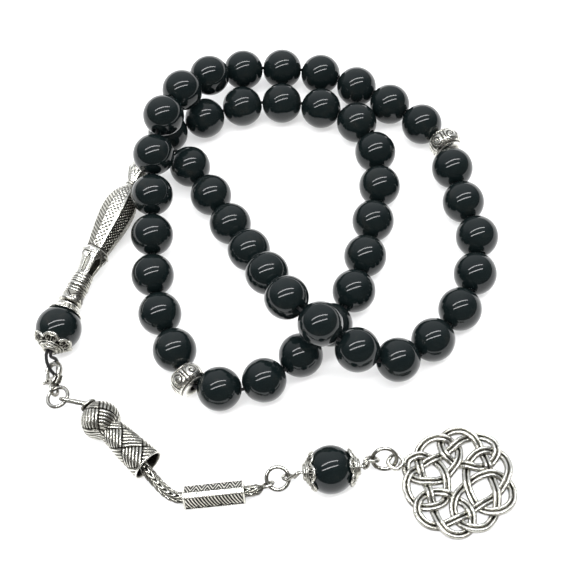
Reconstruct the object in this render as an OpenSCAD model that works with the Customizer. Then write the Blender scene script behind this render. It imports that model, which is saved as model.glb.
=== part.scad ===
// Misbaha of forty-five round beads in three fifteens, laid down in loose loops,
// with its long imam, tassel bead, clasp, woven knot tube, slider, charm bead and pendant.
// Everything lies on the plane z = 0, with the origin under the middle of the laid-out piece.

/* [Beads] */
// Diameter of a counting bead
bead_d = 10; // [9.9:0.05:10.05]
// Gap between neighbouring beads on the thread
bead_gap = 0.12; // [0.1:0.01:0.15]
// Hole through a counting bead and a divider
bead_bore_d = 2.0; // [1.9:0.05:2.1]
// Diameter of the tassel bead and the charm bead
big_bead_d = 10.5; // [10.3:0.1:10.6]

/* [Dividers] */
// Length of a divider along the thread
divider_t = 5.4; // [5.3:0.05:5.5]
// Largest diameter of a divider
divider_d = 7.8; // [7.2:0.1:8.2]

/* [Thread] */
// Diameter of the thread
cord_d = 0.8; // [0.7:0.05:0.85]

/* [Imam] */
// Length of the imam from its seat to its tip
imam_len = 43; // [42.5:0.1:43.5]
// Radius of the imam over the ridges of its body
imam_r = 4.7; // [4.5:0.05:4.75]
// Hole along the imam for two runs of thread
imam_bore_d = 2.0; // [1.9:0.05:2.0]

/* [Metal findings] */
// Wire of the jump rings
ring_wire = 0.9; // [0.8:0.05:0.95]
// Wire of the eyes and of the charm's pin
eye_wire = 0.8; // [0.7:0.05:0.8]
// Mean radius of the upper and the middle jump ring
ring_r = 2.45; // [2.4:0.05:2.5]
// Mean radius of the lower jump ring
low_ring_r = 2.6; // [2.55:0.05:2.65]
// Diameter of the braided chain
chain_d = 2.6; // [2.4:0.1:2.7]

/* [Pendant] */
// Radius of the pendant over its lobes
pendant_r = 12.8; // [12.7:0.05:12.9]
// Thickness of the pendant
pendant_t = 2.2; // [2:0.1:2.4]
// Number of lobes round the pendant
lobes = 10; // [10:1:10]

/* [Hidden] */
$fn = 48;
sphere_fn = 64;

// Plan shift that puts the middle of the laid-out piece over the origin
lay = [4.2, -1.75, 0];

// Counting beads: three fifteens with a divider after each of the first two
fifteen = 15;
bead_count = 3 * fifteen;
slots = bead_count + 2;
divider_play = 0.88;
divider_slots = [fifteen, 2 * fifteen + 1];
grouped = [[13, 15], [28, 30], [43, 45]];

// The line that the bead centres follow, from the first bead to past the last
route = [
    [-22, 33.5, 5], [-17, 24.5, 5], [-10.5, 11, 6.5], [-4.5, -2, 11.5], [-0.5, -10.5, 15],
    [6.5, -18, 15.5], [13.5, -22.5, 11.5], [22.5, -24, 7], [31.5, -19, 5], [41.5, -7.5, 5],
    [45.5, 7, 5], [42.5, 22.5, 5], [41.5, 35, 5], [33, 44.5, 5], [21.5, 54.5, 5],
    [8, 61, 5], [-7, 61.5, 6.5], [-19.5, 54.5, 12], [-27, 42, 15.5], [-30, 32.5, 12.5],
    [-31, 18.5, 8.5], [-31, -2, 5], [-26.5, -17, 5], [-24, -24, 5], [-16, -27, 5],
    [-6, -25.5, 5.5], [5.5, -17, 5.5], [15, -5.5, 6], [20, 9, 5], [24.5, 28.5, 5],
    [20.5, 43, 5], [7, 50, 5], [-8, 51, 5], [-27, 44.5, 5], [-37, 41, 5]
];
spans = 10;

// Tassel bead and imam
tassel_at = [-53.2, -9, big_bead_d / 2];
tassel_turn = 71;
cap_end = 6.1;
imam_seat = tassel_at + cap_end * dir(tassel_turn) + 0.6 * dir(tassel_turn);
imam_at = [imam_seat.x, imam_seat.y, 4.85];
imam_turn = 65.5;
imam_ridge = 15.4;
lane = 0.43;

// Clasp, measured from the middle of its jaw
clasp_at = [-54.7, -18.5, 2.1];
clasp_turn = 3;
clasp_roll = -25;
clasp_t = 1.8;
clasp_eye = -4.3;
gate_pin = [-1.45, -2.1];

// Places and leanings of the links of the tassel
upper_ring_at = [-53.5, -24.85, 2.45];
upper_ring_lean = [-6, -14, 0];
knot_eye_at = [-51.5, -26.0, 3.0];
plate_at = [-46.3, -28.0, 4.4];
ball_at = [-43.3, -32.1, 4.4];
mouth_at = [-32.9, -43.2, 3.9];
slider_from = [-25.7, -50.4, 2.25];
slider_to = [-12.5, -50, 2.25];
slider_flat = 1.85;
slider_edge = 2.6;
slider_roll = 11.4;
middle_ring_at = [-5.25, -47.6, 2.15];
middle_ring_lean = [27.6, -4.4, -7.2];
chain_link_at = [-7.5, -48.65, 1.5];
chain_link_axis = [0.27, -0.71, -0.51];
charm_at = [6.2, -47.6, big_bead_d / 2];
charm_turn = 1.5;
pin_reach = 7.2;
left_eye_at = [-2.8, -47.7, 2.3];
left_eye_lean = [-45, 3, -8];
right_eye_at = [15.45, -45, 2.55];
right_eye_lean = [-48, 17, 0];
lower_ring_at = [18.1, -45.15, 2.6];
lower_ring_lean = [53, -4, 0];
bail_at = [20.45, -45.75, 1.95];
pendant_at = [33.7, -50.9, 0];

// Chain from inside the knot tube to the last link before the middle ring
chain_route = [
    [-37.3, -38.5, 4.1], [-32.9, -43.2, 3.6], [-30.9, -45.3, 2.8], [-29.2, -47.3, 2.2],
    [-27.9, -49.2, 2.1], [-26.6, -50.3, 2.25], [-25, -50.38, 2.25], [-10.6, -49.94, 2.25],
    [-9.6, -49.7, 2.1], [-8.8, -49.3, 1.9]
];

// Thread between the imam's tip and the end beads, and its loop through the clasp
tip_to_first = [[-31.7, 38.2, 4.9], [-29.8, 38.8, 5], [-27.5, 38.6, 5], [-25.6, 38.6, 5]];
last_to_tip = [[-33.2, 42, 5], [-34, 40.3, 5], [-34, 38.4, 4.9]];
clasp_loop = [
    [-55.8, -15.3, 5.2], [-55.8, -16.7, 4.7], [-55.3, -18.2, 3.9], [-54.6, -19.1, 2.8],
    [-54.3, -19.1, 1.6], [-54.2, -18.5, 0.7], [-54.15, -17, 0.5], [-54.2, -15.7, 0.7],
    [-54.35, -15.15, 1.8], [-54.6, -15.35, 3.1], [-54.9, -15.6, 4.6]
];

function unit(v) = v / norm(v);
function dir(a) = [cos(a), sin(a), 0];
function side(a) = [sin(a), -cos(a), 0];

// Smooth line through the route's points
function before(p, i) = i > 0 ? p[i - 1] : 2 * p[0] - p[1];
function after(p, i) = i + 2 < len(p) ? p[i + 2] : 2 * p[len(p) - 1] - p[len(p) - 2];
function reach(u, v) = sqrt(norm(v - u));
function bend_in(a, b, c) =
    ((b - a) / reach(a, b) - (c - a) / (reach(a, b) + reach(b, c)) + (c - b) / reach(b, c))
    * reach(b, c);
function bend_out(b, c, d) =
    ((c - b) / reach(b, c) - (d - b) / (reach(b, c) + reach(c, d)) + (d - c) / reach(c, d))
    * reach(b, c);
function between(a, b, c, d, t) =
    (2 * t^3 - 3 * t^2 + 1) * b + (t^3 - 2 * t^2 + t) * bend_in(a, b, c)
    + (3 * t^2 - 2 * t^3) * c + (t^3 - t^2) * bend_out(b, c, d);
function resting(p) = [p.x, p.y, max(p.z, bead_d / 2)];
function smooth_line(p) = concat(
    [for (i = [0 : len(p) - 2], k = [0 : spans - 1])
        resting(between(before(p, i), p[i], p[i + 1], after(p, i), k / spans))],
    [p[len(p) - 1]]);

// Steps along the line, each one bead or divider further
function half_of(k) = (len(search(k, divider_slots)) > 0 ? divider_t : bead_d) / 2;
function step_to(k) = half_of(k - 1) + half_of(k) + bead_gap;
function span_from(p, i, c, r) =
    i + 2 < len(p) && norm(p[i + 1] - c) < r ? span_from(p, i + 1, c, r) : i;
function on_span(a, b, c, r) =
    let (d = b - a, m = a - c, q = m * d)
    a + d * (sqrt(q * q - (d * d) * (m * m - r * r)) - q) / (d * d);
function stepped(p, k, i, c) =
    k == slots ? [] :
    let (j = span_from(p, i, c, step_to(k)), n = on_span(p[j], p[j + 1], c, step_to(k)))
    concat([n], stepped(p, k + 1, j, n));
line = smooth_line(route);
centres = concat([line[0]], stepped(line, 1, 0, line[0]));

// Points where the thread turns, one in each gap
function heading(k) =
    k == 0 ? unit(centres[1] - centres[0]) :
    k == slots - 1 ? unit(centres[k] - centres[k - 1]) :
    unit(unit(centres[k + 1] - centres[k]) + unit(centres[k] - centres[k - 1]));
function mouth_out(k) = centres[k] + heading(k) * (half_of(k) + bead_gap / 2);
function mouth_in(k) = centres[k] - heading(k) * (half_of(k) + bead_gap / 2);
turns = [for (k = [0 : slots])
    k == 0 ? mouth_in(0) : k == slots ? mouth_out(slots - 1) : (mouth_out(k - 1) + mouth_in(k)) / 2];

// The whole thread: knot in the tassel bead, imam, strand, imam, clasp loop, knot
function on_tassel(s, off) = tassel_at + s * dir(tassel_turn) + off * side(tassel_turn);
function on_imam(s, off) = imam_at + s * dir(imam_turn) + off * side(imam_turn);
thread = concat(
    [on_tassel(0.5, lane), on_tassel(cap_end, lane), on_imam(0.8, lane), on_imam(imam_len, lane)],
    tip_to_first, turns, last_to_tip,
    [on_imam(imam_len, -lane), on_imam(0.8, -lane), on_tassel(cap_end, -lane),
     on_tassel(-cap_end, -lane)],
    clasp_loop,
    [on_tassel(-cap_end, lane), on_tassel(-0.5, lane)]);

// Round tube swept along a list of points
function run(p, i) = unit(p[min(i + 1, len(p) - 1)] - p[max(i - 1, 0)]);
function level(t) = unit(cross(t, [0, 0, 1]));
function hoop(p, i, r, n) =
    let (t = run(p, i), u = level(t), v = cross(u, t))
    [for (k = [0 : n - 1]) p[i] + r * (cos(360 * k / n) * u + sin(360 * k / n) * v)];
function skin(m, n) = [for (i = [0 : m - 2], k = [0 : n - 1])
    let (l = (k + 1) % n) [i * n + k, i * n + l, (i + 1) * n + l, (i + 1) * n + k]];
module tube(p, r, n = 8) {
    m = len(p);
    polyhedron(
        [for (i = [0 : m - 1], q = hoop(p, i, r, n)) q],
        concat([[for (k = [n - 1 : -1 : 0]) k]], skin(m, n),
               [[for (k = [0 : n - 1]) (m - 1) * n + k]]),
        convexity = 10);
}

// Names of the nodes
function two_digits(i) = str(i < 10 ? "0" : "", i);
function bead_name(i) = str("bead_", two_digits(i));
function group_name(g) = str("beads_", g[0], "_", g[1]);
function in_group(i) = len([for (g = grouped) if (i >= g[0] && i <= g[1]) i]) > 0;
lone_beads = [for (i = [1 : bead_count]) if (!in_group(i)) i];
function slot_of(i) = i - 1 + floor((i - 1) / fifteen);

// Turns the Z axis from p towards q
module aim(p, q) {
    v = q - p;
    translate(p) rotate([0, acos(v.z / norm(v)), atan2(v.y, v.x)]) children();
}
module rod(p, q, r) {
    aim(p, q) cylinder(h = norm(q - p), r = r, $fn = 24);
}
module hoop_ring(r, wire) {
    rotate_extrude() translate([r, 0]) circle(d = wire, $fn = 24);
}
module drilled_ball(d, bore) {
    difference() {
        sphere(d = d, $fn = sphere_fn);
        cylinder(h = 2 * d, d = bore, center = true);
    }
}

// Strand
module strung(k) {
    aim(centres[k], centres[k] + turns[k + 1] - turns[k]) children();
}
module bead(i) {
    color([0.05, 0.05, 0.06]) strung(slot_of(i)) drilled_ball(bead_d, bead_bore_d);
}
module bead_group(g) {
    for (i = [g[0] : g[1]]) bead(i);
}
module divider(k) {
    rim = 0.75;
    half = divider_t / 2 - divider_play;
    color([0.75, 0.75, 0.74]) strung(k) difference() {
        rotate_extrude() polygon([
            [0, -half], [0.7 * divider_d / 2, -half], [0.9 * divider_d / 2, -half + rim],
            [0.84 * divider_d / 2, -half + rim], [divider_d / 2, -half / 3],
            [divider_d / 2, half / 3], [0.84 * divider_d / 2, half - rim],
            [0.9 * divider_d / 2, half - rim], [0.7 * divider_d / 2, half], [0, half]]);
        cylinder(h = 2 * divider_t, d = bead_bore_d, center = true);
    }
}
module cord() {
    color([0.02, 0.02, 0.02]) tube(thread, cord_d / 2);
}

// Imam: flared seat, turned rings, fluted stem, collar, eight-sided body, neck and tip
module imam_stage(z0, z1, r0, r1) {
    translate([0, 0, z0]) rotate([0, 0, imam_ridge]) cylinder(h = z1 - z0, r1 = r0, r2 = r1, $fn = 8);
}
module imam_rings(from, count, pitch, r) {
    for (i = [0 : count - 1])
        translate([0, 0, from + pitch * (i + 0.5)]) hoop_ring(r - pitch / 2, pitch);
}
module imam() {
    heights = [14.9, 19, 23, 26, 28.5, 31, 33, 34.4];
    radii = [0.6, 0.74, 0.9, 1, 1, 0.84, 0.56, 0.34] * imam_r;
    tip = imam_len - 1.2;
    color([0.78, 0.78, 0.76]) translate(imam_at) rotate([0, 90, imam_turn]) difference() {
        union() {
            cylinder(h = 2.6, r1 = 2.9, r2 = 2.3);
            translate([0, 0, 2.6]) cylinder(h = 12.3, r = 2.05);
            imam_rings(2.8, 4, 1.3, 2.55);
            imam_stage(8, 13.4, 2.3, 3.1);
            imam_stage(13.4, 14.9, 3.35, 3.2);
            for (i = [0 : len(heights) - 2])
                imam_stage(heights[i], heights[i + 1], radii[i], radii[i + 1]);
            translate([0, 0, 34]) cylinder(h = 1.2, r = 1.45);
            imam_stage(35.2, 38.8, 1.5, 2.8);
            imam_stage(38.8, tip, 2.8, 2.3);
            imam_stage(tip, imam_len, 2.3, 1.8);
        }
        translate([0, 0, -1]) cylinder(h = imam_len + 2, d = imam_bore_d);
    }
}

// Cupped caps on both sides of a big bead
module cap(bore) {
    inner = big_bead_d / 2 + 0.12;
    difference() {
        union() {
            intersection() {
                sphere(r = inner + 0.5, $fn = sphere_fn);
                translate([0, 0, 2.9]) cylinder(h = 4, r = 5.5);
            }
            translate([0, 0, 4.8]) cylinder(h = cap_end - 4.8, r = 1.9);
        }
        sphere(r = inner, $fn = sphere_fn);
        cylinder(h = 20, d = bore);
        for (k = [0 : 5]) rotate([90, 0, 60 * k]) translate([0, 2.6, 2]) cylinder(h = 6, r = 0.9);
    }
}
module cap_pair(at, turn, bore) {
    color([0.8, 0.79, 0.76]) translate(at) rotate([0, 90, turn]) {
        cap(bore);
        mirror([0, 0, 1]) cap(bore);
    }
}
module big_bead(at, turn, bore) {
    color([0.05, 0.05, 0.06]) translate(at) rotate([0, 90, turn]) drilled_ball(big_bead_d, bore);
}

// Clasp: a jaw with a slot for its gate, and an eye across its tail
module clasp_frame() {
    translate(clasp_at) rotate([0, clasp_roll, clasp_turn]) children();
}
module jaw_outline(r) {
    translate([0, 0.4]) circle(r = r);
    translate([0, -0.6]) circle(r = r);
    translate([-r, -0.6]) square([2 * r, 1]);
}
module clasp_body() {
    color([0.82, 0.82, 0.8]) clasp_frame() difference() {
        union() {
            translate([0, 0, -clasp_t / 2]) linear_extrude(clasp_t) {
                jaw_outline(2.2);
                polygon([[-1.7, -1.8], [1.5, -1.8], [0.7, -3.1], [-0.7, -3.1]]);
            }
            translate([0, clasp_eye, 0]) rotate([0, 90, 0]) hoop_ring(1.35, 0.8);
        }
        translate([0, 0, -clasp_t]) linear_extrude(2 * clasp_t) jaw_outline(1.25);
        translate([-4, -0.2, -clasp_t]) cube([3, 1.7, 2 * clasp_t]);
        translate([-4, -3, -0.55]) cube([3.4, 3.2, 1.1]);
        translate([gate_pin.x, gate_pin.y, -clasp_t]) cylinder(h = 2 * clasp_t, d = 0.6, $fn = 24);
    }
}
module clasp_gate() {
    color([0.82, 0.82, 0.8]) clasp_frame() translate([0, 0, -0.45]) linear_extrude(0.9) difference() {
        union() {
            polygon([
                [-0.95, -2], [-1.4, 1.15], [-1.95, 1.1], [-2, -1], [-3, -1.6],
                [-2.9, -2.3], [-2, -2.2], [-1.5, -2.6]]);
            translate(gate_pin) circle(r = 0.6);
        }
        translate(gate_pin) circle(d = 0.7, $fn = 24);
    }
}
module clasp_pin() {
    color([0.7, 0.7, 0.7]) clasp_frame() translate([gate_pin.x, gate_pin.y, -clasp_t / 2])
        cylinder(h = clasp_t, d = 0.6, $fn = 24);
}
module clasp_spring() {
    color([0.6, 0.6, 0.6]) clasp_frame() translate([0, 0, -0.3]) linear_extrude(0.6) polygon([
        [-0.6, -2.9], [-0.6, -2.8], [-0.7, -2.78], [-0.7, -1.95], [-0.8, -1.95], [-0.8, -2.9]]);
}

// Links of the tassel
module link(at, lean, r, wire) {
    color([0.8, 0.8, 0.78]) translate(at) rotate(lean) hoop_ring(r, wire);
}
module knot_eye() {
    v = unit(plate_at - knot_eye_at);
    h = unit(cross(v, [0.5, 0.82, 0.3]));
    n = cross(h, v);
    color([0.8, 0.8, 0.78]) {
        aim(knot_eye_at, knot_eye_at + n) hoop_ring(1.2, eye_wire);
        rod(knot_eye_at + 1.2 * h, plate_at + 0.5 * h, 0.32);
        rod(knot_eye_at - 1.2 * h, plate_at - 0.5 * h, 0.32);
        aim(plate_at, ball_at) cylinder(h = 0.7, r = 1.9);
    }
}
module knot_tube() {
    knob = 4.3;
    len_tube = norm(mouth_at - ball_at);
    color([0.74, 0.74, 0.72]) difference() {
        union() {
            aim(ball_at, plate_at) intersection() {
                sphere(r = knob, $fn = sphere_fn);
                translate([0, 0, -4.4]) cylinder(h = 8.3, r = 6);
            }
            aim(ball_at, mouth_at) translate([0, 0, 2.2]) {
                cylinder(h = len_tube - 4.2, r1 = 2.3, r2 = 3.5);
                translate([0, 0, len_tube - 4.2]) cylinder(h = 2, r1 = 3.5, r2 = 3.7);
            }
        }
        aim(ball_at, mouth_at) translate([0, 0, 6.5]) cylinder(h = 12, r1 = 1.7, r2 = 3.4);
    }
}
module chain() {
    last = chain_route[len(chain_route) - 1];
    color([0.7, 0.7, 0.69]) {
        tube(chain_route, chain_d / 2);
        aim(chain_link_at, chain_link_at + chain_link_axis) hoop_ring(1.3, 0.7);
    }
}
module slider() {
    half = (slider_edge - slider_flat / 2) / sin(60);
    corner_r = norm([slider_flat, half]);
    corner_a = atan2(half, slider_flat);
    color([0.76, 0.76, 0.74]) aim(slider_from, slider_to) difference() {
        rotate([0, 0, slider_roll]) linear_extrude(norm(slider_to - slider_from)) polygon([
            for (k = [0 : 2], m = [-1, 1])
                corner_r * [cos(120 * k + m * corner_a), sin(120 * k + m * corner_a)]]);
        translate([0, 0, -1]) cylinder(h = 20, d = chain_d + 0.4);
    }
}
module charm_pin() {
    along = dir(charm_turn);
    left = charm_at - pin_reach * along;
    right = charm_at + pin_reach * along;
    color([0.8, 0.8, 0.78]) {
        rod(left, right, eye_wire / 2);
        translate(left_eye_at) rotate(left_eye_lean) hoop_ring(1.35, eye_wire);
        rod(left + 0.3 * along, left_eye_at + [1.33, -0.2, 0], 0.3);
        translate(right_eye_at) rotate(right_eye_lean) hoop_ring(1.3, eye_wire);
        rod(right - 0.3 * along, right_eye_at + [-1.2, -0.2, 0.45], 0.3);
    }
}

// Pendant: rings laced round a circle, with a solid bail towards the lower ring
module pendant() {
    lobe_r = 5.2;
    strap = 2;
    out = pendant_at - [bail_at.x, bail_at.y, 0];
    turn = atan2(out.y, out.x);
    color([0.78, 0.78, 0.76]) {
        translate(pendant_at) rotate(turn + 180) linear_extrude(pendant_t) {
            for (k = [0 : lobes - 1]) rotate(360 * (k + 0.5) / lobes)
                translate([pendant_r - lobe_r, 0]) difference() {
                    circle(r = lobe_r);
                    circle(r = lobe_r - strap);
                }
            translate([pendant_r - 2.3, -0.8]) square([norm(out) - pendant_r + 0.8, 1.6]);
        }
        translate(bail_at) hoop_ring(1.6, ring_wire);
    }
}

module laid() {
    translate(lay) children();
}

laid() {
    cord();  // thread
    imam();
    divider(divider_slots[0]);  // divider_1
    divider(divider_slots[1]);  // divider_2
    for (i = lone_beads) bead(i);
    for (g = grouped) bead_group(g);
    big_bead(tassel_at, tassel_turn, 2.2);  // tassel_bead
    cap_pair(tassel_at, tassel_turn, 2.2);  // tassel_caps
    clasp_body();
    clasp_gate();
    clasp_pin();
    clasp_spring();
    link(upper_ring_at, upper_ring_lean, ring_r, ring_wire);  // ring_upper
    knot_eye();
    knot_tube();
    chain();
    slider();
    link(middle_ring_at, middle_ring_lean, ring_r, ring_wire);  // ring_middle
    charm_pin();
    big_bead(charm_at, charm_turn, 1.6);  // charm_bead
    cap_pair(charm_at, charm_turn, 1.6);  // charm_caps
    link(lower_ring_at, lower_ring_lean, low_ring_r, ring_wire);  // ring_lower
    pendant();
}
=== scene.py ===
"""Looks for the misbaha: every visible piece is built here in millimetres, in the CAD's own layout."""

import bpy
import bmesh
import math
import numpy as np
from mathutils import Matrix, Vector


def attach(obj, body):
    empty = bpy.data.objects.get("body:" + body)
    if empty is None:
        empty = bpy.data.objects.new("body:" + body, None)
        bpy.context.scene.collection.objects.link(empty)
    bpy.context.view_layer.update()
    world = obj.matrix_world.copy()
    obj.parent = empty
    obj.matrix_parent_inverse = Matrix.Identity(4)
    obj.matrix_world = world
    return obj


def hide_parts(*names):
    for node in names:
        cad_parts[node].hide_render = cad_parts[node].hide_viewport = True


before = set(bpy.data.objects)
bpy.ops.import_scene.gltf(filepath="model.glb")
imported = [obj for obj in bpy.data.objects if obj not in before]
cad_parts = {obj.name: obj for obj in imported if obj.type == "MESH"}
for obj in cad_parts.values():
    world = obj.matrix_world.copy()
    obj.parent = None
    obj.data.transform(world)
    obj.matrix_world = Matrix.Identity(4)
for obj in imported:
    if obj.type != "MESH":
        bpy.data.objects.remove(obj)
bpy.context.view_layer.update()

MM = 0.001
LAY = np.array([4.2, -1.75, 0.0])  # layout offset of part.scad
PI = math.pi
TAU = 2 * math.pi


def vec(*a):
    return np.array(a, float)


def unit(v):
    v = np.asarray(v, float)
    return v / np.linalg.norm(v)


def turned(deg):
    a = math.radians(deg)
    return vec(math.cos(a), math.sin(a), 0)


def smooth(a, b, x):
    t = np.clip((np.asarray(x, float) - a) / (b - a), 0, 1)
    return t * t * (3 - 2 * t)


def bell(x, centre, width):
    return np.exp(-(((x - centre) / width) ** 2))


def circle(count):
    """Angles evenly round a full turn."""
    return np.arange(count) * TAU / count


def new_object(name, data):
    obj = bpy.data.objects.new(name, data)
    bpy.context.scene.collection.objects.link(obj)
    return obj


# -------- camera
CAM_H, CAM_TILT, CAM_ROLL, CAM_F = 268.045, 0.50032, -0.07363, 1128.757
view_dir = vec(0, math.sin(CAM_TILT), -math.cos(CAM_TILT))
across = vec(1, 0, 0)
down = np.cross(view_dir, across)
right = across * math.cos(CAM_ROLL) - down * math.sin(CAM_ROLL)
low = across * math.sin(CAM_ROLL) + down * math.cos(CAM_ROLL)
cam_at = vec(0, -CAM_H * math.sin(CAM_TILT), CAM_H * math.cos(CAM_TILT)) + LAY
cam_data = bpy.data.cameras.new("camera")
cam = new_object("camera", cam_data)
cam_data.sensor_width = 36.0
cam_data.lens = CAM_F / 576 * 36.0
cam_data.clip_start = 0.01
cam_data.clip_end = 50
rot = Matrix((right, -low, -view_dir)).transposed()
cam.matrix_world = Matrix.Translation(Vector(cam_at * MM)) @ rot.to_4x4()
bpy.context.scene.camera = cam


# -------- mesh helpers
class Shape:
    """Collects grids of vertices with a darkness value each, 0 polished to 1 black, holding blackening and
    painted shade alike.
    """

    def __init__(self):
        self.verts, self.faces, self.dark, self.count = [], [], [], 0

    def add(self, verts, faces, dark):
        self.verts.append(verts)
        self.faces.append(faces)
        self.dark.append(dark)
        self.count += len(verts)

    def grid(self, p, dark=0.0, close_rows=False, caps=False):
        """Rows of points, each row a ring; caps close the first and last row to a point."""
        m, n = p.shape[:2]
        dark = np.broadcast_to(np.asarray(dark, float), (m, n))
        i, j = np.meshgrid(np.arange(m if close_rows else m - 1), np.arange(n), indexing="ij")
        i2, j2 = (i + 1) % m, (j + 1) % n
        base = self.count
        quads = np.stack([i * n + j, i * n + j2, i2 * n + j2, i2 * n + j], -1).reshape(-1, 4)
        self.add(p.reshape(-1, 3), quads + base, dark.ravel())
        for row in (0, m - 1) if caps else ():
            k, ring = np.arange(n), base + row * n
            fan = np.stack([np.full(n, self.count), ring + k, ring + (k + 1) % n, np.full(n, -1)], -1)
            self.add(p[row].mean(0)[None], fan[:, [0, 2, 1, 3]] if row else fan,
                     dark[row].mean(keepdims=True))

    def build(self, name, slot, body, node, blackening_and_shade=0.0):
        """Makes the piece that stands for a CAD node and rides on a body."""
        v = (np.concatenate(self.verts) + LAY) * MM
        faces = np.concatenate(self.faces).tolist()
        mesh = bpy.data.meshes.new(name)
        mesh.from_pydata(v.tolist(), [], [[k for k in face if k >= 0] for face in faces])
        mesh.polygons.foreach_set("use_smooth", [True] * len(mesh.polygons))
        work = bmesh.new()
        work.from_mesh(mesh)
        bmesh.ops.recalc_face_normals(work, faces=work.faces)
        work.to_mesh(mesh)
        work.free()
        mesh.update()
        n = np.zeros(len(v) * 3)
        mesh.vertices.foreach_get("normal", n)
        painted_flank_shade = smooth(0.92, 0.25, n.reshape(-1, 3)[:, 2])  # painted shade: darker on the flanks and underneath, by the slant of each normal from up
        dark = np.clip(np.minimum(np.concatenate(self.dark), 1) + blackening_and_shade * painted_flank_shade, 0, 1)
        layer = mesh.attributes.new("dark", "FLOAT", "POINT")
        layer.data.foreach_set("value", dark.astype(np.float32))
        mesh.materials.append(FINISH[slot])
        obj = new_object(name, mesh)
        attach(obj, body)
        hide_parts(node)
        return obj


def axes_of(d):
    """Axis, the direction nearest to up, and the direction to its right looking along the axis."""
    d = unit(d)
    z = vec(0, 0, 1)
    if abs(d @ z) > 0.99:
        z = vec(0, 1, 0)
    side = unit(np.cross(d, z))
    return d, np.cross(side, d), side


def around(at, d, s, r, a):
    """Points at distance s along an axis and radius r, at angle a from up towards the right."""
    d, up, side = axes_of(d)
    s, r, a = (x[..., None] for x in np.broadcast_arrays(s, r, a))
    return at + s * d + r * np.cos(a) * up + r * np.sin(a) * side


def sample(points, knots, at):
    """Points read off between knots, where each of the given points has a knot."""
    return np.stack([np.interp(at, knots, points[:, c]) for c in range(3)], -1)


def resample(points, step, closed=False):
    """The same path in even steps."""
    p = np.asarray(points, float)
    if closed:
        p = np.vstack([p, p[:1]])
    d = np.concatenate([[0], np.cumsum(np.linalg.norm(np.diff(p, axis=0), axis=1))])
    q = sample(p, d, np.linspace(0, d[-1], max(4, int(round(d[-1] / step))) + 1))
    return q[:-1] if closed else q


def spline(points, per=10, closed=False):
    """Centripetal Catmull-Rom through the points."""
    p = np.asarray(points, float)
    n = len(p)
    out = []
    spans = n if closed else n - 1
    for i in range(spans):
        if closed:
            a, b, c, d = p[(i - 1) % n], p[i], p[(i + 1) % n], p[(i + 2) % n]
        else:
            b, c = p[i], p[i + 1]
            a = p[i - 1] if i else 2 * b - c
            d = p[i + 2] if i + 2 < n else 2 * c - b
        ka, kb, kc = (math.sqrt(max(1e-9, np.linalg.norm(v - u))) for u, v in ((a, b), (b, c), (c, d)))
        m1 = ((b - a) / ka - (c - a) / (ka + kb) + (c - b) / kb) * kb
        m2 = ((c - b) / kb - (d - b) / (kb + kc) + (d - c) / kc) * kb
        t = np.arange(per)[:, None] / per
        out.append((2 * t**3 - 3 * t**2 + 1) * b + (t**3 - 2 * t**2 + t) * m1
                   + (3 * t**2 - 2 * t**3) * c + (t**3 - t**2) * m2)
    if not closed:
        out.append(p[-1:])
    return np.concatenate(out)


def frames(path, closed=False, start=None):
    """Tangents and a twist-free pair of normals along a path."""
    p = np.asarray(path, float)
    t = np.roll(p, -1, 0) - np.roll(p, 1, 0) if closed else np.gradient(p, axis=0)
    t /= np.linalg.norm(t, axis=1)[:, None]
    ref = vec(0, 0, 1) if start is None else np.asarray(start, float)
    if abs(unit(ref) @ t[0]) > 0.95:
        ref = vec(1, 0, 0)
    u = [unit(ref - (ref @ t[0]) * t[0])]
    for k in t[1:]:
        u.append(unit(u[-1] - (u[-1] @ k) * k))
    u = np.array(u)
    if closed:  # the twist left over at the join is shared out along the path
        end = unit(u[-1] - (u[-1] @ t[0]) * t[0])
        gap = math.atan2(end @ np.cross(t[0], u[0]), end @ u[0])
        a = -gap * np.arange(len(p)) / len(p)
        u = np.cos(a)[:, None] * u + np.sin(a)[:, None] * np.cross(t, u)
    return t, u, np.cross(t, u)


def tube(shape, path, radius, sides=12, dark=0.0, closed=False, caps=True, ring=None, start=None):
    """Sweeps a round section along a path; ring(k, a) scales the radius at point k and angle a."""
    p = np.asarray(path, float)
    _, u, v = frames(p, closed, start)
    a = circle(sides)
    r = np.broadcast_to(np.asarray(radius, float), (len(p),))[:, None] * np.ones(sides)
    if ring is not None:
        r = r * ring(np.arange(len(p))[:, None], a[None])
    q = p[:, None] + (r * np.cos(a))[..., None] * u[:, None] + (r * np.sin(a))[..., None] * v[:, None]
    shape.grid(q, dark, close_rows=closed, caps=caps and not closed)


def lathe(shape, at, axis, profile, count, dark=0.0, lift=0.0, close_rows=False):
    """Revolves (distance along the axis, radius) pairs; the lift is added to the radius."""
    profile = np.asarray(profile, float)
    shape.grid(around(at, axis, profile[:, :1], profile[:, 1:] + lift, circle(count)[None]), dark, close_rows)


def ball(shape, at, r, dark=0.0, n=10):
    th = np.linspace(0.02, PI - 0.02, n)[:, None]
    ph = circle(2 * n)[None]
    p = np.stack([np.sin(th) * np.cos(ph), np.sin(th) * np.sin(ph), np.cos(th) * np.ones_like(ph)], -1) * r
    shape.grid(p + at, dark, caps=True)


# -------- materials
def new_material(name):
    m = bpy.data.materials.new(name)
    m.use_nodes = True
    tree = m.node_tree
    tree.nodes.clear()
    shader = tree.nodes.new("ShaderNodeBsdfPrincipled")
    tree.links.new(shader.outputs[0], tree.nodes.new("ShaderNodeOutputMaterial").inputs[0])
    return m, tree, shader


def feed(tree, node, inputs):
    """Gives a node its inputs: a socket is linked, anything else is a constant."""
    for key, value in inputs.items():
        if isinstance(value, bpy.types.NodeSocket):
            tree.links.new(value, node.inputs[key])
        else:
            node.inputs[key].default_value = value
    return node


def noise(tree, scale, detail=4.0, rough=0.55, distortion=0.0):
    return feed(tree, tree.nodes.new("ShaderNodeTexNoise"), {
        "Scale": scale, "Detail": detail, "Roughness": rough, "Distortion": distortion,
        "Vector": tree.nodes.new("ShaderNodeTexCoord").outputs["Object"]}).outputs["Fac"]


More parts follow.
